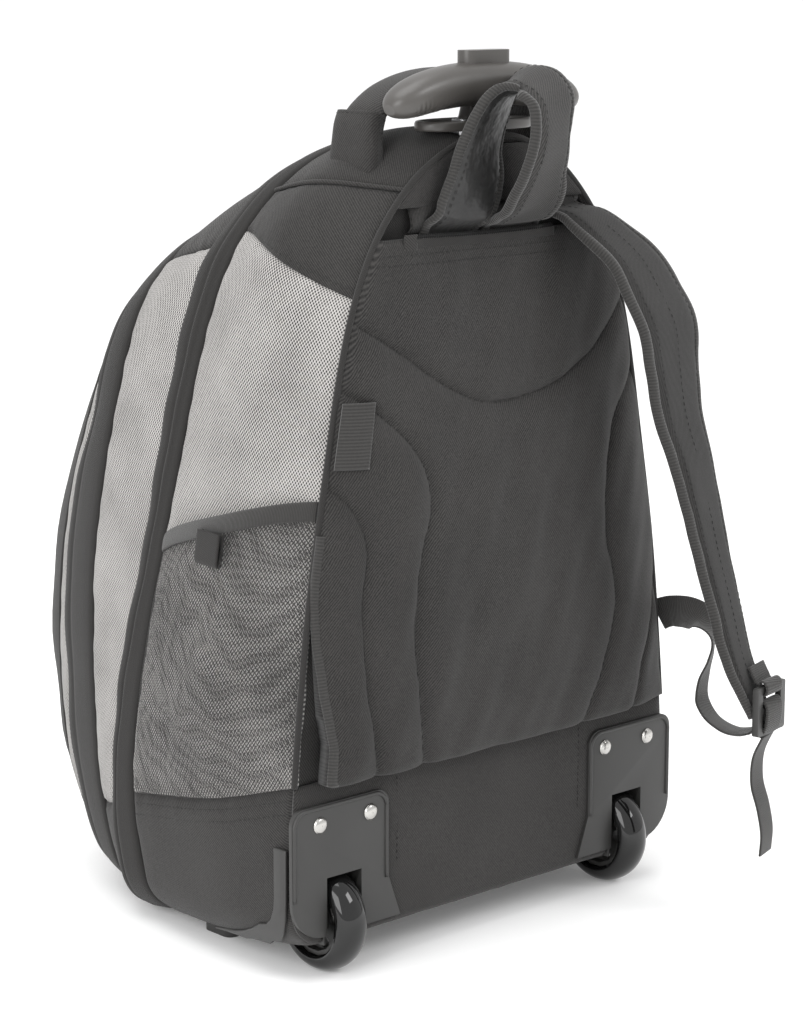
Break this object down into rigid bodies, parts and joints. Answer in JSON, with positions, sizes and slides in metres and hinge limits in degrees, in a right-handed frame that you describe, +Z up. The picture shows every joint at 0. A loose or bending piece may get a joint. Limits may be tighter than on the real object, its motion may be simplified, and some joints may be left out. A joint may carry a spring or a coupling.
{
  "type": "wheeled backpack",
  "caption": "Wheeled backpack with a grey mesh-sided cloth bag, padded back flap, shoulder straps, net bottle pockets, two corner wheels and a telescopic trolley handle.",
  "frame": {"origin": "middle of the whole outline, on the ground that the wheels and feet stand on", "axes": "+Z up, +Y towards the back panel with the straps, +X towards the bag's left side"},
  "size_m": [0.3388, 0.4226, 0.5275],
  "materials": {
    "dark_twill": "matt twill",
    "grey_mesh": "matt spacer mesh",
    "dark_tape": "ribbed tape",
    "net": "open net",
    "moulded_black": "moulded",
    "glossy_black": "polished",
    "bright_steel": "polished",
    "tube": "satin"
  },
  "bodies": {
    "bag": {"top_panel": "dark_twill", "yoke_left": "dark_twill", "yoke_right": "dark_twill", "base_shell": "dark_twill", "middle_top": "dark_twill", "middle_base": "dark_twill", "front_top": "dark_twill", "front_base": "dark_twill", "front_panel": "dark_twill", "rear_wall": "dark_twill", "back_hem": "dark_twill", "back_base_panel": "dark_twill", "back_flap": "dark_twill", "grab_handle": "dark_twill", "handle_sleeve_left": "dark_twill", "handle_sleeve_right": "dark_twill", "strap_right": "dark_twill", "strap_left": "dark_twill", "side_panel_left": "grey_mesh", "side_panel_right": "grey_mesh", "middle_side_left": "grey_mesh", "middle_side_right": "grey_mesh", "front_side_left": "grey_mesh", "front_side_right": "grey_mesh", "zip_band_rear": "dark_tape", "zip_band_front": "dark_tape", "pocket_band_left": "dark_tape", "pocket_band_right": "dark_tape", "pocket_loop_left": "dark_tape", "pocket_loop_right": "dark_tape", "strap_webbing": "dark_tape", "strap_tail": "dark_tape", "label_tab": "dark_tape", "pocket_net_left": "net", "pocket_net_right": "net", "wheel_housing_left": "moulded_black", "wheel_housing_right": "moulded_black", "corner_guard_left": "moulded_black", "corner_guard_right": "moulded_black", "skid_foot_left": "moulded_black", "skid_foot_right": "moulded_black", "trolley_plate": "moulded_black", "strap_buckle": "moulded_black", "axle_left": "bright_steel", "axle_right": "bright_steel", "rivet_1": "bright_steel", "rivet_2": "bright_steel", "rivet_3": "bright_steel", "rivet_4": "bright_steel", "trolley_sleeve": "tube"},
    "wheel_left": {"tyre_left": "glossy_black", "hub_left": "glossy_black"},
    "wheel_right": {"tyre_right": "glossy_black", "hub_right": "glossy_black"},
    "trolley_stage": {"trolley_stage": "tube"},
    "trolley_grip": {"grip_post": "tube", "trolley_grip": "moulded_black"},
    "push_button": {"push_button": "moulded_black"}
  },
  "joints": [
    {"name": "wheel_left_spin", "type": "hinge", "parent": "bag", "child": "wheel_left", "pos_m": [0.1186, 0.08321, 0.032], "axis": [1, 0, 0], "continuous": true},
    {"name": "wheel_right_spin", "type": "hinge", "parent": "bag", "child": "wheel_right", "pos_m": [-0.1186, 0.08321, 0.032], "axis": [1, 0, 0], "continuous": true},
    {"name": "stage_slide", "type": "slide", "parent": "bag", "child": "trolley_stage", "axis": [0, 0, 1], "range_m": [0, 0.26]},
    {"name": "grip_slide", "type": "slide", "parent": "trolley_stage", "child": "trolley_grip", "axis": [0, 0, 1], "range_m": [0, 0.26]},
    {"name": "button_press", "type": "slide", "parent": "trolley_grip", "child": "push_button", "axis": [0, 0, -1], "range_m": [0, 0.003], "stiffness_N_per_m": 300, "springref_m": -0.002}
  ]
}
